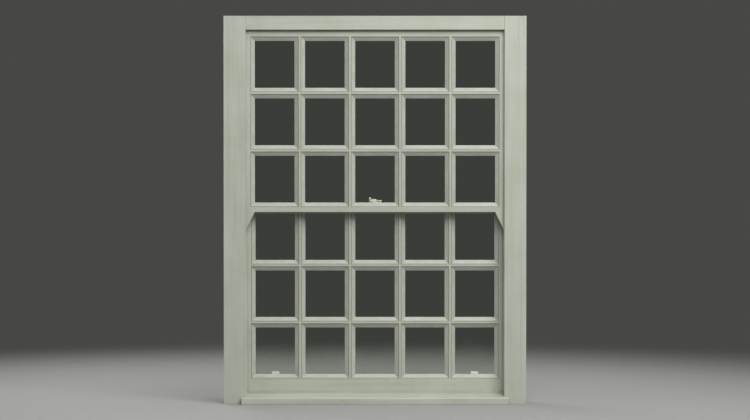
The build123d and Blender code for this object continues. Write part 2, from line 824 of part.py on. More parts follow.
def travel():
    """How far the lower sash rises and the upper sash falls."""
    rise = head_z - BEAD_OUT - lower_top - FASTENER_H - TRAVEL_MARGIN
    fall = upper_foot - HORN_L - sill_top(upper_y + SASH_T) - TRAVEL_MARGIN
    return rise, fall


def build():
    sill = sill_blank()
    upper = upper_sash()
    lower = lower_sash(sill)
    parts = case(sill, [upper_cord_y, lower_cord_y]) | upper | lower
    parts |= balance(lower, upper)
    parts |= fastener(lower_y, lower_top)
    parts["fastener_keeper"] = keeper(upper_sight)
    lift_x = sight_w / 2 - PANE_W / 2
    lifts = [sash_lift(x, lower_y + SASH_T, lower_sight + LIFT_ABOVE) for x in (-lift_x, lift_x)]
    parts["sash_lifts"] = group(lifts)

    rise, fall = travel()
    print("lower sash rises", round(rise, 2), "and the upper sash falls", round(fall, 2))
    print("sashes weigh", round(mass(lower), 2), "and", round(mass(upper), 2), "kg")
    print("half width", case_x, "depth from", -NOSE_OUT, "to", back_y, "height", round(case_top, 2))
    return parts


if __name__ == "__main__":
    os.makedirs("parts", exist_ok=True)
    for name, shape in build().items():
        shape.label = name
        export_step(shape, f"parts/{name}.step")
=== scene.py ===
from math import cos, pi, radians, sin

import bmesh
import bpy
from bpy.props import FloatProperty, FloatVectorProperty, IntProperty, PointerProperty
from mathutils import Matrix, Vector


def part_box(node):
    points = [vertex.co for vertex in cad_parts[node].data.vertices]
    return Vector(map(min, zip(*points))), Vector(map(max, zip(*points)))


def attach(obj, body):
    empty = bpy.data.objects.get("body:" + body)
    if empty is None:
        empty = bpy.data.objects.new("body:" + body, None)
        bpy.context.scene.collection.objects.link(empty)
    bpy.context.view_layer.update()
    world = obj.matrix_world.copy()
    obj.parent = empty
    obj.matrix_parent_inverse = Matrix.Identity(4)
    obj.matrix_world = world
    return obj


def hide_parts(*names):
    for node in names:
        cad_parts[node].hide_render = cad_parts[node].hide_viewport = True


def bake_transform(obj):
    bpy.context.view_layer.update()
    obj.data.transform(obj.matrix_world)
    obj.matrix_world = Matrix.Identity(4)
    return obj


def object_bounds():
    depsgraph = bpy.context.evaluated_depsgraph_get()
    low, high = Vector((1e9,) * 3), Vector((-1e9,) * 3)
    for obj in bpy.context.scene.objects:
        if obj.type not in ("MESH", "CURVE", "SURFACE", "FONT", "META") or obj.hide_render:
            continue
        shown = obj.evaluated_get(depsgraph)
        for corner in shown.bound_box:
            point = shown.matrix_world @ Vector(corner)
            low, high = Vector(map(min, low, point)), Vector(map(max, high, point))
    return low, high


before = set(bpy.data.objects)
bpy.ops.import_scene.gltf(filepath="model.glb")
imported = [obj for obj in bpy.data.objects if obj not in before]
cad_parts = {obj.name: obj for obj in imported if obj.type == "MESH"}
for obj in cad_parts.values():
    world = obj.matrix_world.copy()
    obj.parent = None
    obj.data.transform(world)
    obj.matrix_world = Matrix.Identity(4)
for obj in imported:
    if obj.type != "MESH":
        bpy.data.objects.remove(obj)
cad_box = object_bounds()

bl_info = {
    "name": "Sash Window",
    "version": (1, 0, 0),
    "blender": (4, 5, 0),
    "location": "View3D > Sidebar > Sash Window",
    "description": "Paint, glass, cords, small fixings and stage of a balanced sash window",
    "category": "Object",
}

SIDES = {"left": -1, "right": 1}
SASHES = ("lower", "upper")

# The image in pixels, and the camera's sensor in millimetres.
IMAGE_W, IMAGE_H = 750, 420
SENSOR_W = 36.0

# Pieces whose timber runs from side to side. All the others stand upright.
LEVEL_WORDS = ("rail", "cross_bars", "head", "sill", "angle_blocks")

# Where the lamps stand, and their width and height.
KEY_PLACE, KEY_SIZE = (1.8, -3.9, 4.2), (4.2, 3.2)
REAR_PLACE, REAR_SIZE = (-3.4, 4.2, 2.4), (4.0, 3.0)

# Sides of a cord's section, of a knot's strand, of a round head and of the floor.
CORD_SIDES, KNOT_SIDES, HEAD_SIDES, FLOOR_SIDES = 20, 14, 32, 96


def linear(code):
    """Linear colour, as the shaders take it, from an sRGB hex code."""
    channels = [int(code[i : i + 2], 16) / 255 for i in (0, 2, 4)]
    return [c / 12.92 if c <= 0.04045 else ((c + 0.055) / 1.055) ** 2.4 for c in channels]


def shade(code):
    return (*linear(code), 1.0)


def colour_setting(name, description, code):
    return FloatVectorProperty(
        name=name, description=description, default=linear(code), subtype="COLOR", min=0, max=1
    )


def length_setting(name, description, metres):
    return FloatProperty(name=name, description=description, default=metres, unit="LENGTH", min=0)


class PaintSettings(bpy.types.PropertyGroup):
    """Oil paint on the timber outside and in."""

    colour: colour_setting("Paint", "Colour of the paint where it is sound", "AFB5A5")
    chalked: colour_setting("Chalked paint", "Colour where sun and rain have dulled it", "B9BBB0")
    # This colour darkens the corners of the paint and putty as painted shade with soiling, and
    # fills the putty's cracks and seams.
    grime_and_shade: colour_setting("Grime", "Dirt that gathers in the corners", "5C5A48")
    roughness: FloatProperty(name="Roughness", description="Sheen of the paint", default=0.42)
    stroke: length_setting("Brush mark", "Width of one mark of the brush", 0.0025)


class TimberSettings(bpy.types.PropertyGroup):
    """Bare softwood inside the case."""

    early: colour_setting("Early wood", "Pale wood between the rings", "BBA07A")
    late: colour_setting("Late wood", "Dark line of each ring", "8F6D48")
    greyed: colour_setting("Greyed wood", "Where air and damp have aged it", "8B8071")
    ring: length_setting("Ring spacing", "Distance from ring to ring", 0.0045)


class GlassSettings(bpy.types.PropertyGroup):
    """Old drawn glass."""

    tint: colour_setting("Tint", "What a pane lets through", "D3DAD1")
    ior: FloatProperty(name="IOR", description="Index of refraction", default=1.52)
    wave: length_setting("Wave", "Length of the slow waves in the surface", 0.09)
    # In the corners of the panes this colour is painted shade as well as soiling.
    dust_and_shade: colour_setting("Dust", "Dirt in the corners of the panes", "8E8A78")


class CordSettings(bpy.types.PropertyGroup):
    """Waxed cotton sash cord."""

    diameter: length_setting("Diameter", "Thickness of the cord", 0.006)
    colour: colour_setting("Cotton", "Colour of the waxed cotton", "CFC5AB")
    strands: IntProperty(name="Strands", description="Strands that run each way", default=4)
    pitch: length_setting("Pitch", "Length of one turn of a strand", 0.026)


class HardwareSettings(bpy.types.PropertyGroup):
    """Fastener, lifts, pulleys, weights and screws."""

    paint: colour_setting("Hardware paint", "Colour of the painted hardware", "DAD7C9")
    brass: colour_setting("Brass", "Colour of clean brass", "C9A35B")
    iron: colour_setting("Iron", "Colour of raw cast iron", "4A4744")
    screw: length_setting("Screw head", "Diameter of a screw's head", 0.0075)


class StageSettings(bpy.types.PropertyGroup):
    """Floor, lamps and camera."""

    backdrop: colour_setting("Backdrop", "Colour seen round the window", "474846")
    floor: colour_setting("Floor", "Colour of the floor", "9A9A97")
    bounce: colour_setting("Floor's light", "Colour of the light that it throws up", "8C8C89")
    floor_r: length_setting("Floor radius", "From the middle to the rim of the floor", 4.5)
    distance: length_setting("Distance", "From the camera to the window", 11.5)
    elevation: FloatProperty(
        name="Elevation", description="Height of the view", default=radians(1), subtype="ANGLE"
    )
    fill_share: FloatProperty(
        name="Window height", description="Share of the image's height", default=0.92, max=1
    )
    key: FloatProperty(name="Key lamp", description="Power of the main lamp", default=298, min=0)
    rear: FloatProperty(name="Rear lamp", description="Power of the rear lamp", default=130, min=0)
    sky: FloatProperty(name="Sky", description="Even light from overhead", default=0.58, min=0)
    ground: FloatProperty(name="Ground", description="Even light from below", default=0.05, min=0)


# Materials

NOISE = "ShaderNodeTexNoise"
MAPPING = "ShaderNodeMapping"
RANGE = "ShaderNodeMapRange"
MATH = "ShaderNodeMath"
MIX = "ShaderNodeMix"
BUMP = "ShaderNodeBump"

# Inputs of a colour mix by their places, because it has several of each name.
SHARE, FIRST, SECOND = 0, 6, 7


def node(tree, kind, links=None, **settings):
    """Adds a node with its settings; links gives its inputs as values, sockets, or nodes, which
    stand for their first output in use."""
    made = tree.nodes.new(kind)
    for key, value in settings.items():
        setattr(made, key, value)
    for key, value in (links or {}).items():
        if isinstance(value, bpy.types.Node):
            value = next(out for out in value.outputs if out.enabled)
        if isinstance(value, bpy.types.NodeSocket):
            tree.links.new(value, made.inputs[key])
        else:
            made.inputs[key].default_value = value
    return made


def join(tree, made, shader, socket):
    """Links a node's output in use to an input of the shader."""
    tree.links.new(next(out for out in made.outputs if out.enabled), shader.inputs[socket])


def material(name, **values):
    """A material with a Principled shader, and the coordinates of the resting object in metres."""
    made = bpy.data.materials.new(name)
    made.use_nodes = True
    tree = made.node_tree
    shader = tree.nodes["Principled BSDF"]
    for key, value in values.items():
        shader.inputs[key.replace("_", " ")].default_value = value
    where = node(tree, "ShaderNodeTexCoord").outputs["Object"]
    return made, tree, shader, where


def drawn_out(across, length, axis):
    """Scale of a pattern whose marks are across metres wide and length metres long."""
    scale = [1 / across] * 3
    scale[axis] = 1 / length
    return scale


def toned(tree, colour, pattern, darkest, lightest):
    """The colour made darker and lighter by a pattern of middling grey."""
    tone = node(tree, RANGE, {0: pattern, 1: 0.3, 2: 0.7, 3: darkest, 4: lightest})
    grey = node(tree, "ShaderNodeCombineXYZ", {0: tone, 1: tone, 2: tone})
    links = {SHARE: 1.0, FIRST: colour, SECOND: grey}
    return node(tree, MIX, links, data_type="RGBA", blend_type="MULTIPLY")


def corner_shade_and_soil(tree, where, reach, grit, most):
    """Share of painted shade and soiling in inner corners within reach metres, broken up by spots
    of a size grit.
    """
    # The share grows where ambient occlusion finds the surface closed in.
    near = node(tree, "ShaderNodeAmbientOcclusion", {"Distance": reach}, samples=6)
    closed = node(tree, RANGE, {0: near.outputs["AO"], 1: 0.75, 2: 0.25, 3: 0.0, 4: most})
    spots = node(tree, NOISE, {"Vector": where, "Scale": 1 / grit, "Detail": 3.0})
    broken = node(tree, RANGE, {0: spots, 1: 0.35, 2: 0.65, 3: 0.35, 4: 1.0})
    return node(tree, MATH, {0: closed, 1: broken}, operation="MULTIPLY")


def paint_colour(tree, where, paint, axis):
    """Oil paint brushed along an axis: its colour, and the patches where it has chalked."""
    patch = node(tree, NOISE, {"Vector": where, "Scale": 1 / 0.16, "Detail": 3.0})
    chalk = node(tree, RANGE, {0: patch, 1: 0.4, 2: 0.72, 3: 0.0, 4: 0.7})
    links = {SHARE: chalk, FIRST: (*paint.colour, 1), SECOND: (*paint.chalked, 1)}
    colour = node(tree, MIX, links, data_type="RGBA")
    # The brush marks are 2.5 mm wide; their tone is drawn six times as coarse so that it shows.
    place = node(tree, MAPPING, {0: where, 3: drawn_out(paint.stroke * 6, 0.5, axis)})
    tone = node(tree, NOISE, {"Vector": place, "Scale": 1.0, "Detail": 2.0})
    colour = toned(tree, colour, tone, 0.93, 1.05)
    # Knots and joints stain through the paint in soft spots of about 30 mm.
    stain = node(tree, NOISE, {"Vector": where, "Scale": 1 / 0.03, "Detail": 2.0})
    share = node(tree, RANGE, {0: stain, 1: 0.62, 2: 0.8, 3: 0.0, 4: 0.35})
    links = {SHARE: share, FIRST: colour, SECOND: shade("9A9A84")}
    colour = node(tree, MIX, links, data_type="RGBA")
    # The inner corners are darkened by painted shade with soiling, by how closed in they are.
    links = {
        SHARE: corner_shade_and_soil(tree, where, 0.016, 0.02, 0.6),
        FIRST: colour,
        SECOND: (*paint.grime_and_shade, 1),
    }
    return node(tree, MIX, links, data_type="RGBA"), patch


def brush_marks(tree, where, paint, axis):
    """Low ridges left by the bristles, 2.5 mm apart and long along the timber."""
    place = node(tree, MAPPING, {0: where, 3: drawn_out(paint.stroke, 0.18, axis)})
    marks = node(tree, NOISE, {"Vector": place, "Scale": 1.0, "Detail": 2.0})
    return node(tree, BUMP, {"Height": marks, "Distance": 0.0002, "Strength": 0.9})


def painted_timber(name, paint, axis):
    """Oil paint brushed on softwood: an even satin film with long brush marks along the timber,
    dulled in patches by the weather, with painted shade and soiling in the corners."""
    made, tree, shader, where = material(name, Roughness=paint.roughness, IOR=1.48)
    colour, patch = paint_colour(tree, where, paint, axis)
    join(tree, colour, shader, "Base Color")
    low, high = paint.roughness - 0.06, paint.roughness + 0.14
    join(tree, node(tree, RANGE, {0: patch, 1: 0.35, 2: 0.7, 3: low, 4: high}), shader, "Roughness")
    join(tree, brush_marks(tree, where, paint, axis), shader, "Normal")
    return made


def pine_colour(tree, where, timber, axis):
    """Old planed pine: pale wood, darker rings along the board, and its fibres."""
    # The rings wander by a few millimetres over a board, and one board shows many of them.
    place = node(tree, MAPPING, {0: where, 3: drawn_out(0.06, 0.7, axis)})
    drift = node(tree, NOISE, {"Vector": place, "Scale": 1.0, "Detail": 1.0})
    rings = node(tree, MATH, {0: drift, 1: 0.06 / timber.ring}, operation="MULTIPLY")
    folded = node(tree, MATH, {0: rings, 1: 1.0}, operation="PINGPONG")
    line = node(tree, RANGE, {0: folded, 1: 0.55, 2: 0.98, 3: 0.0, 4: 0.85})
    links = {SHARE: line, FIRST: (*timber.early, 1), SECOND: (*timber.late, 1)}
    colour = node(tree, MIX, links, data_type="RGBA")
    # Wood fibres are 0.03 mm thick; they are drawn in bundles of 1.2 mm so that they show.
    place = node(tree, MAPPING, {0: where, 3: drawn_out(0.0012, 0.05, axis)})
    fibre = node(tree, NOISE, {"Vector": place, "Scale": 1.0, "Detail": 2.0})
    colour = toned(tree, colour, fibre, 0.88, 1.06)
    # Air and damp have greyed it in wide soft patches.
    patch = node(tree, NOISE, {"Vector": where, "Scale": 1 / 0.25, "Detail": 3.0})
    age = node(tree, RANGE, {0: patch, 1: 0.35, 2: 0.7, 3: 0.1, 4: 0.6})
    links = {SHARE: age, FIRST: colour, SECOND: (*timber.greyed, 1)}
    return node(tree, MIX, links, data_type="RGBA"), fibre


def bare_timber(name, timber, axis):
    """Planed pine left bare inside the case: matt, its rings and fibres long along the board."""
    made, tree, shader, where = material(name, Roughness=0.66, IOR=1.5)
    colour, fibre = pine_colour(tree, where, timber, axis)
    join(tree, colour, shader, "Base Color")
    bump = node(tree, BUMP, {"Height": fibre, "Distance": 0.0001, "Strength": 0.7})
    join(tree, bump, shader, "Normal")
    return made


def worn_track(name, paint, timber, face):
    """Pine painted on the face where the sashes run and bare behind it: the sliding stiles have
    rubbed the paint through in long streaks. face is its distance from the middle."""
    made, tree, shader, where = material(name, Roughness=0.5, IOR=1.48)
    painted = paint_colour(tree, where, paint, 2)[0]
    bare, fibre = pine_colour(tree, where, timber, 2)
    out = node(tree, "ShaderNodeSeparateXYZ", {0: where}).outputs["X"]
    depth = node(tree, MATH, {0: out}, operation="ABSOLUTE")
    front = node(tree, RANGE, {0: depth, 1: face + 0.0003, 2: face + 0.0012, 3: 1.0, 4: 0.0})
    # A rubbed streak is about 9 mm wide and a hand long.
    place = node(tree, MAPPING, {0: where, 3: drawn_out(0.009, 0.22, 2)})
    rub = node(tree, NOISE, {"Vector": place, "Scale": 1.0, "Detail": 3.0})
    kept = node(tree, RANGE, {0: rub, 1: 0.36, 2: 0.43})
    share = node(tree, MATH, {0: front, 1: kept}, operation="MULTIPLY")
    links = {SHARE: share, FIRST: bare, SECOND: painted}
    join(tree, node(tree, MIX, links, data_type="RGBA"), shader, "Base Color")
    rough = node(tree, RANGE, {0: share, 1: 0.0, 2: 1.0, 3: 0.66, 4: paint.roughness})
    join(tree, rough, shader, "Roughness")
    bump = node(tree, BUMP, {"Height": fibre, "Distance": 0.0001, "Strength": 0.6})
    join(tree, bump, shader, "Normal")
    return made


def open_seam(tree, where, faces, patch):
    """Share of soiling in the seam where the putty has parted from the timber, along the outer face
    of each sash. faces holds the depths of the two outer faces."""
    near, far = faces
    depth = node(tree, "ShaderNodeSeparateXYZ", {0: where}).outputs["Y"]
    inward = node(tree, MATH, {0: depth, 1: near}, operation="SUBTRACT")
    inward = node(tree, MATH, {0: inward, 1: far - near}, operation="MODULO")
    # Such a seam is 0.3 mm wide; it is drawn seven times as wide so that it shows.
    line = node(tree, RANGE, {0: inward, 1: 0.0003, 2: 0.001, 3: 1.0, 4: 0.0})
    worn = node(tree, RANGE, {0: patch, 1: 0.35, 2: 0.6, 3: 0.6, 4: 0.95})
    return node(tree, MATH, {0: line, 1: worn}, operation="MULTIPLY")


def painted_putty(name, paint, faces):
    """Linseed putty struck with a knife and painted over: smooth and slightly uneven, with a few
    hairline cracks, a soiled seam along the timber, and painted shade with soiling where it
    meets the glass and the timber."""
    made, tree, shader, where = material(name, Roughness=paint.roughness, IOR=1.48)
    patch = node(tree, NOISE, {"Vector": where, "Scale": 1 / 0.05, "Detail": 3.0})
    chalk = node(tree, RANGE, {0: patch, 1: 0.35, 2: 0.65, 3: 0.5, 4: 1.0})
    links = {SHARE: chalk, FIRST: (*paint.colour, 1), SECOND: (*paint.chalked, 1)}
    colour = toned(tree, node(tree, MIX, links, data_type="RGBA"), patch, 0.84, 0.93)
    # Painted shade with soiling where the putty meets the glass and the timber, by how closed in it
    # is.
    shade_and_soil = corner_shade_and_soil(tree, where, 0.012, 0.015, 0.7)
    links = {SHARE: shade_and_soil, FIRST: colour, SECOND: (*paint.grime_and_shade, 1)}
    colour = node(tree, MIX, links, data_type="RGBA")
    # Cracks 0.2 mm wide and 35 mm apart, bent out of line, and open in some places only.
    bend = node(tree, NOISE, {"Vector": where, "Scale": 1 / 0.02, "Detail": 2.0})
    drift = node(
        tree, "ShaderNodeVectorMath", {0: bend.outputs["Color"], "Scale": 0.012}, operation="SCALE"
    )
    place = node(tree, "ShaderNodeVectorMath", {0: where, 1: drift}, operation="ADD")
    cells = node(
        tree,
        "ShaderNodeTexVoronoi",
        {"Vector": place, "Scale": 1 / 0.035},
        feature="DISTANCE_TO_EDGE",
    )
    line = node(tree, RANGE, {0: cells, 1: 0.0, 2: 0.006, 3: 0.6, 4: 0.0})
    opened = node(tree, RANGE, {0: patch, 1: 0.48, 2: 0.6})
    crack = node(tree, MATH, {0: line, 1: opened}, operation="MULTIPLY")
    seam = open_seam(tree, where, faces, patch)
    gap = node(tree, MATH, {0: crack, 1: seam}, operation="MAXIMUM")
    links = {SHARE: gap, FIRST: colour, SECOND: (*paint.grime_and_shade, 1)}
    join(tree, node(tree, MIX, links, data_type="RGBA"), shader, "Base Color")
    # The knife leaves low waves about 12 mm long.
    knife = node(tree, NOISE, {"Vector": where, "Scale": 1 / 0.012, "Detail": 1.0})
    bump = node(tree, BUMP, {"Height": knife, "Distance": 0.0004, "Strength": 0.6})
    join(tree, bump, shader, "Normal")
    return made


def old_glass(name, glass):
    """Old cylinder glass: clear and faintly green, with slow waves that bend the reflections, and
    a darker, rougher film in the corners that rain and cloth don't reach, drawn as painted shade
    with soiling."""
    made, tree, shader, where = material(name, IOR=glass.ior, Transmission_Weight=1.0)
    # The pane darkens and grows rougher near the putty: painted shade with soiling, by how closed
    # in it is.
    shade_and_soil = corner_shade_and_soil(tree, where, 0.03, 0.012, 0.55)
    links = {SHARE: shade_and_soil, FIRST: (*glass.tint, 1), SECOND: (*glass.dust_and_shade, 1)}
    join(tree, node(tree, MIX, links, data_type="RGBA"), shader, "Base Color")
    rough = node(tree, RANGE, {0: shade_and_soil, 1: 0.0, 2: 0.5, 3: 0.015, 4: 0.2})
    join(tree, rough, shader, "Roughness")
    # The cylinder was opened flat, so its waves are longer along the sheet than across it.
    place = node(tree, MAPPING, {0: where, 3: drawn_out(glass.wave, glass.wave * 2.5, 2)})
    waves = node(tree, NOISE, {"Vector": place, "Scale": 1.0, "Detail": 1.0})
    bump = node(tree, BUMP, {"Height": waves, "Distance": 0.0025, "Strength": 0.5})
    join(tree, bump, shader, "Normal")
    return made


def cast_iron(name, hardware, rust, most):
    """Sand-cast iron: a dull grainy skin, with brown rust where it has been damp."""
    made, tree, shader, where = material(name, Metallic=0.75, Roughness=0.62)
    damp = node(tree, NOISE, {"Vector": where, "Scale": 1 / 0.03, "Detail": 3.0})
    share = node(tree, RANGE, {0: damp, 1: 0.45, 2: 0.62, 3: 0.0, 4: most})
    links = {SHARE: share, FIRST: (*hardware.iron, 1), SECOND: shade(rust)}
    colour = node(tree, MIX, links, data_type="RGBA")
    # The sand's grains are 0.3 mm; the skin is drawn at 1.8 mm so that it shows.
    skin = node(tree, NOISE, {"Vector": where, "Scale": 1 / 0.0018, "Detail": 3.0})
    join(tree, toned(tree, colour, skin, 0.8, 1.15), shader, "Base Color")
    rough = node(tree, RANGE, {0: share, 1: 0.0, 2: 1.0, 3: 0.55, 4: 0.85})
    join(tree, rough, shader, "Roughness")
    bump = node(tree, BUMP, {"Height": skin, "Distance": 0.0003, "Strength": 0.9})
    join(tree, bump, shader, "Normal")
    return made


def aged_brass(name, hardware):
    """Turned and handled brass: warm metal, with brown tarnish in cloudy patches."""
    made, tree, shader, where = material(name, Metallic=1.0, Roughness=0.3)
    cloud = node(tree, NOISE, {"Vector": where, "Scale": 1 / 0.008, "Detail": 3.0})
    share = node(tree, RANGE, {0: cloud, 1: 0.42, 2: 0.68, 3: 0.05, 4: 0.75})
    links = {SHARE: share, FIRST: (*hardware.brass, 1), SECOND: shade("6E5429")}
    join(tree, node(tree, MIX, links, data_type="RGBA"), shader, "Base Color")
    rough = node(tree, RANGE, {0: cloud, 1: 0.35, 2: 0.7, 3: 0.22, 4: 0.5})
    join(tree, rough, shader, "Roughness")
    # The lathe's marks are 0.1 mm apart; they are drawn at 0.5 mm so that they show.
    turned = node(tree, NOISE, {"Vector": where, "Scale": 1 / 0.0005, "Detail": 1.0})
    bump = node(tree, BUMP, {"Height": turned, "Distance": 0.00003, "Strength": 0.5})
    join(tree, bump, shader, "Normal")
    return made


def bright_steel(name):
    """Drawn steel: grey and fairly smooth, with fine marks along the pin."""
    made, tree, shader, where = material(name, Metallic=1.0, Roughness=0.35)
    # The die's marks are 0.05 mm apart; they are drawn at 0.6 mm so that they show.
    place = node(tree, MAPPING, {0: where, 3: drawn_out(0.0006, 0.01, 1)})
    marks = node(tree, NOISE, {"Vector": place, "Scale": 1.0, "Detail": 2.0})
    share = node(tree, RANGE, {0: marks, 1: 0.3, 2: 0.7, 3: 0.0, 4: 0.5})
    links = {SHARE: share, FIRST: shade("A9A7A3"), SECOND: shade("6F6B66")}
    join(tree, node(tree, MIX, links, data_type="RGBA"), shader, "Base Color")
    rough = node(tree, RANGE, {0: marks, 1: 0.3, 2: 0.7, 3: 0.28, 4: 0.5})
    join(tree, rough, shader, "Roughness")
    return made


def painted_metal(name, hardware):
    """Cast fittings under many coats of gloss paint: soft edges, faint brush marks, and a few
    small chips down to the iron."""
    made, tree, shader, where = material(name, Roughness=0.36, IOR=1.5)
    patch = node(tree, NOISE, {"Vector": where, "Scale": 1 / 0.01, "Detail": 3.0})
    share = node(tree, RANGE, {0: patch, 1: 0.4, 2: 0.7, 3: 0.0, 4: 0.4})
    links = {SHARE: share, FIRST: (*hardware.paint, 1), SECOND: shade("C4C0AE")}
    colour = node(tree, MIX, links, data_type="RGBA")
    # Painted shade with soiling in the inner corners of the fittings, by how closed in they are.
    shade_and_soil = corner_shade_and_soil(tree, where, 0.006, 0.01, 0.6)
    links = {SHARE: shade_and_soil, FIRST: colour, SECOND: shade("5C5A48")}
    colour = node(tree, MIX, links, data_type="RGBA")
    spots = node(tree, NOISE, {"Vector": where, "Scale": 1 / 0.004, "Detail": 4.0})
    chip = node(tree, RANGE, {0: spots, 1: 0.72, 2: 0.73})
    links = {SHARE: chip, FIRST: colour, SECOND: (*hardware.iron, 1)}
    join(tree, node(tree, MIX, links, data_type="RGBA"), shader, "Base Color")
    rough = node(tree, RANGE, {0: patch, 1: 0.3, 2: 0.7, 3: 0.3, 4: 0.46})
    join(tree, rough, shader, "Roughness")
    marks = node(tree, NOISE, {"Vector": where, "Scale": 1 / 0.0025, "Detail": 2.0})
    bump = node(tree, BUMP, {"Height": marks, "Distance": 0.0001, "Strength": 0.6})
    join(tree, bump, shader, "Normal")
    return made


def waxed_cotton(name, cord):
    """Braided cotton cord drawn through wax: matt, off-white, with painted shade and soiling
    between the strands.
    """
    made, tree, shader, where = material(
        name, Roughness=0.8, IOR=1.47, Sheen_Weight=0.25, Sheen_Roughness=0.5
    )
    # A cotton yarn is 0.3 mm thick; it is drawn at 0.8 mm so that it shows.
    fibre = node(tree, NOISE, {"Vector": where, "Scale": 1 / 0.0008, "Detail": 3.0})
    share = node(tree, RANGE, {0: fibre, 1: 0.3, 2: 0.7})
    links = {SHARE: share, FIRST: (*cord.colour, 1), SECOND: shade("B3A684")}
    colour = node(tree, MIX, links, data_type="RGBA")
    spot = node(tree, NOISE, {"Vector": where, "Scale": 1 / 0.05, "Detail": 3.0})
    soil = node(tree, RANGE, {0: spot, 1: 0.45, 2: 0.7, 3: 0.0, 4: 0.4})
    links = {SHARE: soil, FIRST: colour, SECOND: shade("8C7F63")}
    colour = node(tree, MIX, links, data_type="RGBA")
    # Painted shade with soiling in the hollows between the strands, by how closed in they are.
    shade_and_soil = corner_shade_and_soil(tree, where, 0.0015, 0.0008, 1.0)
    links = {SHARE: shade_and_soil, FIRST: colour, SECOND: shade("6E6248")}
    join(tree, node(tree, MIX, links, data_type="RGBA"), shader, "Base Color")
    bump = node(tree, BUMP, {"Height": fibre, "Distance": 0.0002, "Strength": 0.6})
    join(tree, bump, shader, "Normal")
    return made


def seen_rays(tree):
    """Share of the rays that show a thing to the camera, straight or by way of metal and glass."""
    rays = node(tree, "ShaderNodeLightPath").outputs
    share = rays["Is Camera Ray"]
    for kind in ("Is Glossy Ray", "Is Transmission Ray"):
        share = node(tree, MATH, {0: share, 1: rays[kind]}, operation="MAXIMUM").outputs[0]
    return share


def is_level(name):
    return any(word in name for word in LEVEL_WORDS)


def dress(slot, pick):
    """Gives every CAD node of a slot the material that pick gives for its name."""
    for name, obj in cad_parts.items():
        for place in obj.material_slots:
            if place.material and place.material.name.split(".")[0] == slot:
                place.material = pick(name)


# Meshes


def new_piece(name, mesh, body, finish, smooth=True):
    """Links a mesh as a piece that rides on a body and takes its finish from a slot."""
    obj = bpy.data.objects.new(name, mesh)
    bpy.context.scene.collection.objects.link(obj)
    mesh.materials.append(finish)
    for face in mesh.polygons:
        face.use_smooth = smooth
    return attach(obj, body) if body else obj


def tube(path, radius_at, sides):
    """Mesh tube along points; radius_at takes a turn about the tube and a length along it."""
    mesh = bpy.data.meshes.new("tube")
    work = bmesh.new()
    rings, gone, depth = [], 0.0, Vector((0, 1, 0))
    for i, point in enumerate(path):
        before, after = path[max(i - 1, 0)], path[min(i + 1, len(path) - 1)]
        along = (after - before).normalized()
        if i:
            gone += (point - path[i - 1]).length
        depth = (depth - depth.dot(along) * along).normalized()
        out = along.cross(depth)
        ring = []
        for k in range(sides):
            turn = 2 * pi * k / sides
            r = radius_at(turn, gone)
            ring.append(work.verts.new(point + r * (cos(turn) * out + sin(turn) * depth)))
        rings.append(ring)
    for one, two in zip(rings, rings[1:]):
        for k in range(sides):
            n = (k + 1) % sides
            work.faces.new((one[k], two[k], two[n], one[n]))
    work.faces.new(rings[0])
    work.faces.new(reversed(rings[-1]))
    bmesh.ops.recalc_face_normals(work, faces=work.faces)
    work.to_mesh(mesh)
    work.free()
    return mesh


def joined(parts, name):
    """One mesh from (mesh, matrix) pairs."""
    work = bmesh.new()
    for mesh, matrix in parts:
        copy = mesh.copy()
        copy.transform(matrix)
        work.from_mesh(copy)
        bpy.data.meshes.remove(copy)
    mesh = bpy.data.meshes.new(name)
    work.to_mesh(mesh)
    work.free()
    return mesh


def facing(direction):
    """Rotation that turns +Z to a direction."""
    return Vector(direction).to_track_quat("Z", "Y").to_matrix().to_4x4()


def domed_head(diameter, rise):
    """Low dome on +Z, its rim at the origin's height, with a tapered foot below."""
    steps, foot_share, foot_depth = 5, 0.6, 0.2 * diameter
    work = bmesh.new()
    r = diameter / 2
    rings = []
    for j in range(steps):
        a = (pi / 2) * j / steps
        ring = [
            work.verts.new((r * cos(a) * cos(t), r * cos(a) * sin(t), rise * sin(a)))
            for t in (2 * pi * k / HEAD_SIDES for k in range(HEAD_SIDES))
        ]
        rings.append(ring)
    foot = [
        work.verts.new((v.co.x * foot_share, v.co.y * foot_share, -foot_depth)) for v in rings[0]
    ]
    rings.insert(0, foot)
    top = work.verts.new((0, 0, rise))
    for one, two in zip(rings, rings[1:]):
        for k in range(HEAD_SIDES):
            n = (k + 1) % HEAD_SIDES
            work.faces.new((one[k], one[n], two[n], two[k]))
    for k in range(HEAD_SIDES):
        work.faces.new((rings[-1][k], rings[-1][(k + 1) % HEAD_SIDES], top))
    work.faces.new(reversed(foot))
    mesh = bpy.data.meshes.new("head")
    work.to_mesh(mesh)
    work.free()
    return mesh


def screw_head(diameter, slot_turn):
    """Raised countersunk head with a slot cut across it."""
    rise, slot_l = diameter * 0.08, diameter * 1.2
    slot_w, slot_d = diameter * 0.16, diameter * 0.1
    head = bpy.data.objects.new("screw", domed_head(diameter, rise))
    cutter_mesh = bpy.data.meshes.new("slot")
    work = bmesh.new()
    bmesh.ops.create_cube(work, size=1)
    work.to_mesh(cutter_mesh)
    work.free()
    cutter = bpy.data.objects.new("slot", cutter_mesh)
    cutter.matrix_world = (
        Matrix.Rotation(slot_turn, 4, "Z")
        @ Matrix.Translation((0, 0, rise))
        @ Matrix.Diagonal((slot_l, slot_w, 2 * slot_d, 1))
    )
    for obj in (head, cutter):
        bpy.context.scene.collection.objects.link(obj)
    cut = head.modifiers.new("slot", "BOOLEAN")
    cut.object, cut.operation, cut.solver = cutter, "DIFFERENCE", "EXACT"
    graph = bpy.context.evaluated_depsgraph_get()
    done = bpy.data.meshes.new_from_object(head.evaluated_get(graph))
    for obj in (head, cutter):
        bpy.data.objects.remove(obj)
    return done


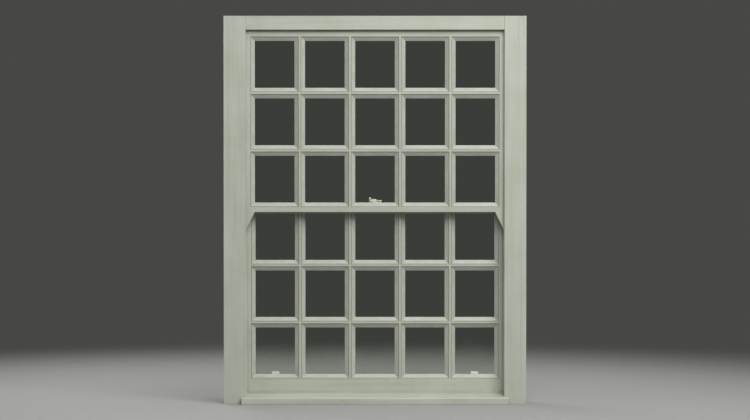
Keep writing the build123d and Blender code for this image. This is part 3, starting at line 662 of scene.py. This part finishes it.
def screws(name, spots, direction, diameter, body, finish):
    """Slotted screws at points, all facing one way, their slots at different turns."""
    first_turn, next_turn = radians(17), radians(53)
    parts = []
    for i, spot in enumerate(spots):
        mesh = screw_head(diameter, first_turn + next_turn * i)
        parts.append((mesh, Matrix.Translation(spot) @ facing(direction)))
    return new_piece(name, joined(parts, name), body, finish, smooth=False)


# Operators


class SASH_OT_camera(bpy.types.Operator):
    """Place the camera square on to the window, far off, as the photograph was taken"""

    bl_idname = "sash.camera"
    bl_label = "Camera"

    def execute(self, context):
        stage = context.scene.sash_stage
        low, high = cad_box
        centre = (low + high) / 2
        view_h = (high.z - low.z) / stage.fill_share
        data = bpy.data.cameras.new("camera")
        data.sensor_width = SENSOR_W
        data.lens = SENSOR_W * stage.distance / (view_h * IMAGE_W / IMAGE_H)
        camera = bpy.data.objects.new("camera", data)
        back = Vector((0, -cos(stage.elevation), sin(stage.elevation)))
        camera.location = centre + stage.distance * back
        camera.rotation_euler = (-back).to_track_quat("-Z", "Y").to_euler()
        context.scene.collection.objects.link(camera)
        context.scene.camera = camera
        return {"FINISHED"}


class SASH_OT_cords(bpy.types.Operator):
    """Lay the four braided cords from the sashes over the pulleys to the weights"""

    bl_idname = "sash.cords"
    bl_label = "Sash cords"

    def execute(self, context):
        cord = context.scene.sash_cord
        cotton = waxed_cotton("waxed_cotton_cord", cord)
        iron = cast_iron("sand_cast_iron", context.scene.sash_hardware, "6B4A33", 0.7)
        for sash in SASHES:
            for side, sign in SIDES.items():
                hold = self.lay(cord, cotton, sash, side, sign)
                self.nails(f"{sash}_cord_{side}_nails", hold, sign, sash, iron)
        return {"FINISHED"}

    def lay(self, cord, finish, sash, side, sign):
        """Lays one cord, and gives the foot of its hold where the nails go in."""
        groove_depth = 0.0035  # from the wheel's rim to the middle of the cord
        grip = 0.25  # from the top of the sash down to the cord's end in its groove
        knot_drop = 0.01846  # from the top of the weight's neck to the middle of the knot
        step = 0.0018  # between the rings of a cord's mesh
        relief = 0.06  # half the depth of the hollows between strands, as a share of the radius
        name, weight = f"{sash}_cord_{side}", f"{sash}_weight_{side}"
        low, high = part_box(f"{sash}_pulley_wheel_{side}")
        hub = (low + high) / 2
        r = (high.z - low.z) / 2 - groove_depth
        inner, outer = hub.x - sign * r, hub.x + sign * r
        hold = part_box(f"{sash}_stile_{side}")[1].z - grip
        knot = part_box(f"{sash}_weight_{side}")[1].z - knot_drop

        def surface(turn, gone):
            """Strands that cross each other both ways raise the surface by turns."""
            twist = 2 * pi * gone / cord.pitch
            n = cord.strands
            ridge = max(cos(n * (turn + twist)), cos(n * (turn - twist)))
            return cord.diameter / 2 * (1 - relief + relief * ridge)

        def straight(x, start, end):
            count = max(2, round(abs(end - start) / step))
            return [
                Vector((x, hub.y, start + (end - start) * i / count)) for i in range(count + 1)
            ]

        arc_steps = round(pi * r / step)
        arc = [
            hub + r * Vector((-sign * cos(pi * i / arc_steps), 0, sin(pi * i / arc_steps)))
            for i in range(arc_steps + 1)
        ]

        def stretch(part, path, body=None):
            """One length of the cord as a piece of its own."""
            mesh = tube(path, surface, CORD_SIDES)
            return new_piece(f"{name}_{part}", mesh, body, finish)

        over = stretch("over_wheel", arc, "case")
        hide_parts(name)
        run = stretch("to_sash", straight(inner, hold, hub.z))
        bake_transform(run)
        tail = stretch("to_weight", straight(outer, hub.z, knot))
        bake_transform(tail)
        self.knot(f"{name}_knot", Vector((outer, hub.y, knot)), weight, finish)
        return Vector((inner + sign * cord.diameter / 2, hub.y, hold))

    def knot(self, name, centre, body, finish):
        """Thumb knot pulled tight under the weight's eye: the three lobes of a trefoil."""
        reach, strand, steps = 0.0055, 0.0021, 90
        size = (reach - strand) / 3  # a trefoil's lobes reach out by three
        path = []
        for i in range(steps + 1):
            t = 2 * pi * i / steps
            across = sin(t) + 2 * sin(2 * t)
            up = cos(t) - 2 * cos(2 * t)
            path.append(centre + size * Vector((across, -2 * sin(3 * t), up)))
        ball = tube(path, lambda turn, gone: strand, KNOT_SIDES)
        new_piece(name, ball, body, finish)

    def nails(self, name, foot, sign, sash, iron):
        """Clout nails that fix the cord in its groove in the sash."""
        diameter, rise, gap, count = 0.0055, 0.0008, 0.022, 3
        heads = [
            (
                domed_head(diameter, rise),
                Matrix.Translation(foot + Vector((0, 0, gap * (i + 0.5)))) @ facing((sign, 0, 0)),
            )
            for i in range(count)
        ]
        new_piece(name, joined(heads, name), f"{sash}_sash", iron)


class SASH_OT_stage(bpy.types.Operator):
    """Set the floor, the even light and the two lamps"""

    bl_idname = "sash.stage"
    bl_label = "Stage"

    def execute(self, context):
        stage = context.scene.sash_stage
        self.floor(stage)
        self.world(context.scene, stage)
        aim = (cad_box[0] + cad_box[1]) / 2
        self.lamp("key_lamp", KEY_PLACE, aim, KEY_SIZE, stage.key)
        self.lamp("rear_lamp", REAR_PLACE, aim, REAR_SIZE, stage.rear)
        context.scene.view_settings.view_transform = "Standard"
        return {"FINISHED"}

    def floor(self, stage):
        below_sill = 0.0005
        full, gone = 0.25 * stage.floor_r, 0.98 * stage.floor_r
        work = bmesh.new()
        bmesh.ops.create_circle(work, cap_ends=True, segments=FLOOR_SIDES, radius=stage.floor_r)
        mesh = bpy.data.meshes.new("floor")
        work.to_mesh(mesh)
        work.free()
        obj = bpy.data.objects.new("floor", mesh)
        obj.location.z = cad_box[0].z - below_sill
        bpy.context.scene.collection.objects.link(obj)
        made, tree, shader, where = material("studio_floor", Roughness=0.9)
        links = {SHARE: seen_rays(tree), FIRST: (*stage.bounce, 1), SECOND: (*stage.floor, 1)}
        join(tree, node(tree, MIX, links, data_type="RGBA"), shader, "Base Color")
        # The floor fades out towards its rim, so that no edge shows against the backdrop.
        away = node(tree, "ShaderNodeVectorMath", {0: where}, operation="LENGTH").outputs["Value"]
        links = {0: away, 1: full, 2: gone, 3: 1.0, 4: 0.0}
        solid = node(tree, RANGE, links, interpolation_type="SMOOTHERSTEP")
        clear = node(tree, "ShaderNodeBsdfTransparent")
        cover = node(tree, "ShaderNodeMixShader", {0: solid, 1: clear, 2: shader.outputs[0]})
        tree.links.new(cover.outputs[0], tree.nodes["Material Output"].inputs["Surface"])
        mesh.materials.append(made)

    def world(self, scene, stage):
        world = bpy.data.worlds.new("studio")
        world.use_nodes = True
        tree = world.node_tree
        even = tree.nodes["Background"]
        even.inputs["Color"].default_value = (1, 1, 1, 1)
        # Most of the even light comes from overhead, as it does out of doors: it grows from the
        # ground's strength at the lower of two heights on the sphere to the sky's at the upper.
        least, most = -0.2, 0.8
        way = node(tree, "ShaderNodeTexCoord").outputs["Generated"]
        up = node(tree, "ShaderNodeSeparateXYZ", {0: way}).outputs["Z"]
        dome = node(tree, RANGE, {0: up, 1: least, 2: most, 3: stage.ground, 4: stage.sky})
        tree.links.new(dome.outputs[0], even.inputs["Strength"])
        seen = node(tree, "ShaderNodeBackground", {"Color": (*stage.backdrop, 1), "Strength": 1.0})
        both = node(tree, "ShaderNodeMixShader", {0: seen_rays(tree), 1: even, 2: seen})
        tree.links.new(both.outputs[0], tree.nodes["World Output"].inputs["Surface"])
        scene.world = world

    def lamp(self, name, place, aim, size, power):
        data = bpy.data.lights.new(name, "AREA")
        data.shape = "RECTANGLE"
        data.size, data.size_y = size
        data.energy = power
        obj = bpy.data.objects.new(name, data)
        obj.location = place
        obj.rotation_euler = (aim - obj.location).to_track_quat("-Z", "Y").to_euler()
        # The lamps light the window and are not seen beside it or through its panes.
        obj.visible_camera = obj.visible_transmission = False
        bpy.context.scene.collection.objects.link(obj)


class SASH_OT_paint(bpy.types.Operator):
    """Paint the sashes, linings, beads and sill, and the putty with them"""

    bl_idname = "sash.paint"
    bl_label = "Painted timber"

    def execute(self, context):
        paint = context.scene.sash_paint
        upright = painted_timber("oil_painted_pine_upright", paint, 2)
        level = painted_timber("oil_painted_pine_level", paint, 0)
        faces = [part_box(f"{sash}_putty")[0].y for sash in ("upper", "lower")]
        putty = painted_putty("oil_painted_putty", paint, faces)
        dress("painted_timber", lambda name: level if is_level(name) else upright)
        dress("painted_putty", lambda name: putty)
        return {"FINISHED"}


class SASH_OT_timber(bpy.types.Operator):
    """Leave the boards inside the case bare, and wear the paint of the pulley stiles"""

    bl_idname = "sash.timber"
    bl_label = "Bare timber"

    def execute(self, context):
        timber = context.scene.sash_timber
        upright = bare_timber("planed_pine_upright", timber, 2)
        level = bare_timber("planed_pine_level", timber, 0)
        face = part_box("pulley_stile_right")[0].x
        track = worn_track("worn_painted_pine", context.scene.sash_paint, timber, face)

        def pick(name):
            if name.startswith(("pulley_stile", "pocket_cover")):
                return track
            return level if is_level(name) else upright

        dress("case_timber", pick)
        return {"FINISHED"}


class SASH_OT_glass(bpy.types.Operator):
    """Glaze the thirty panes with old glass"""

    bl_idname = "sash.glass"
    bl_label = "Glass"

    def execute(self, context):
        glass = old_glass("old_cylinder_glass", context.scene.sash_glass)
        dress("clear_glass", lambda name: glass)
        for sash in SASHES:
            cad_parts[f"{sash}_panes"].visible_shadow = False
        return {"FINISHED"}


class SASH_OT_metal(bpy.types.Operator):
    """Finish the weights, pulleys, pins, fastener and lifts"""

    bl_idname = "sash.metal"
    bl_label = "Metalwork"

    def execute(self, context):
        hardware = context.scene.sash_hardware
        finishes = {
            "weight_iron": bpy.data.materials["sand_cast_iron"],
            "pulley_iron": cast_iron("japanned_iron", hardware, "3A2E28", 0.4),
            "wheel_brass": aged_brass("turned_brass", hardware),
            "pin_steel": bright_steel("drawn_steel"),
            "painted_hardware": painted_metal("gloss_painted_iron", hardware),
        }
        for slot, finish in finishes.items():
            dress(slot, lambda name, finish=finish: finish)
        return {"FINISHED"}


class SASH_OT_screws(bpy.types.Operator):
    """Fix the pulleys, pockets, beads, fastener and lifts with slotted screws"""

    bl_idname = "sash.screws"
    bl_label = "Screws"

    def execute(self, context):
        bead_share = 0.7  # the size of a bead's screw as a share of a pulley's
        size = context.scene.sash_hardware.screw
        brass = bpy.data.materials["turned_brass"]
        paint = bpy.data.materials["gloss_painted_iron"]
        for side, sign in SIDES.items():
            low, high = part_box(f"pulley_stile_{side}")
            face = low.x if sign > 0 else high.x
            self.track(side, sign, face, size, brass)
            self.beads(side, sign, size * bead_share, brass)
        self.hardware(size, paint)
        return {"FINISHED"}

    def track(self, side, sign, face, size, brass):
        """Screws of the pulleys' face plates and of the pocket cover."""
        from_hub, from_edge = 0.042, 0.018
        spots = []
        for sash in SASHES:
            low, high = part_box(f"{sash}_pulley_wheel_{side}")
            hub = (low + high) / 2
            spots += [(face, hub.y, hub.z + step) for step in (-from_hub, from_hub)]
        way = (-sign, 0, 0)
        screws(f"pulley_screws_{side}", spots, way, size, "case", brass)
        low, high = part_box(f"pocket_cover_{side}")
        y = high.y - from_edge
        spots = [(face, y, low.z + from_edge), (face, y, high.z - from_edge)]
        screws(f"pocket_screws_{side}", spots, way, size, "case", brass)

    def beads(self, side, sign, size, brass):
        """Screws that hold the staff bead from the inner side, so that it can be taken off."""
        from_edge, margin, count = 0.0042, 0.09, 6
        low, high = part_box(f"staff_bead_{side}")
        x = (high.x if sign > 0 else low.x) - sign * from_edge
        spots = [
            (x, high.y, low.z + margin + (high.z - low.z - 2 * margin) * i / (count - 1))
            for i in range(count)
        ]
        screws(f"bead_screws_{side}", spots, (0, 1, 0), size, "case", brass)

    def hardware(self, size, paint):
        """Screws of the fastener's two plates and of the lifts, painted over with them."""
        slot, up, inward = "painted_hardware", (0, 0, 1), (0, 1, 0)
        usual, small = 0.85 * size, 0.8 * size
        base_t, base_in = 0.003, 0.008
        low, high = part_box("fastener_base")
        y, z = (low.y + high.y) / 2, low.z + base_t
        spots = [(x, y, z) for x in (low.x + base_in, high.x - base_in)]
        screws("fastener_base_screws", spots, up, usual, "lower_sash", paint)
        keeper_t, keeper_in, keeper_back = 0.0025, 0.007, 0.006
        low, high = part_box("fastener_keeper")
        y, z = low.y + keeper_back, low.z + keeper_t
        spots = [(x, y, z) for x in (low.x + keeper_in, high.x - keeper_in)]
        screws("fastener_keeper_screws", spots, up, small, "upper_sash", paint)
        lift_t, lift_up, lift_near, lift_far = 0.003, 0.010, 0.008, 0.026
        low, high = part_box("sash_lifts")
        y, z = low.y + lift_t, low.z + lift_up
        places = (low.x + lift_near, low.x + lift_far, high.x - lift_far, high.x - lift_near)
        spots = [(x, y, z) for x in places]
        screws("lift_screws", spots, inward, usual, "lower_sash", paint)


class SASH_PT_window(bpy.types.Panel):
    """Settings and steps of the sash window"""

    bl_idname = "SASH_PT_window"
    bl_label = "Sash Window"
    bl_space_type = "VIEW_3D"
    bl_region_type = "UI"
    bl_category = "Sash Window"

    def draw(self, context):
        for step in STEPS:
            self.layout.operator(step.bl_idname)
        for name, group in SETTINGS.items():
            box = self.layout.box()
            for key in group.__annotations__:
                box.prop(getattr(context.scene, name), key)


SETTINGS = {
    "sash_paint": PaintSettings,
    "sash_timber": TimberSettings,
    "sash_glass": GlassSettings,
    "sash_cord": CordSettings,
    "sash_hardware": HardwareSettings,
    "sash_stage": StageSettings,
}
STEPS = (
    SASH_OT_camera,
    SASH_OT_cords,
    SASH_OT_paint,
    SASH_OT_timber,
    SASH_OT_glass,
    SASH_OT_metal,
    SASH_OT_screws,
    SASH_OT_stage,
)
CLASSES = (*SETTINGS.values(), *STEPS, SASH_PT_window)


def register():
    for kind in CLASSES:
        bpy.utils.register_class(kind)
    for name, group in SETTINGS.items():
        setattr(bpy.types.Scene, name, PointerProperty(type=group))


def unregister():
    for name in SETTINGS:
        delattr(bpy.types.Scene, name)
    for kind in reversed(CLASSES):
        bpy.utils.unregister_class(kind)


def main():
    register()
    bpy.ops.sash.camera()
    bpy.ops.sash.cords()
    bpy.ops.sash.paint()
    bpy.ops.sash.timber()
    bpy.ops.sash.glass()
    bpy.ops.sash.metal()
    bpy.ops.sash.screws()
    bpy.ops.sash.stage()


if __name__ == "__main__":
    main()
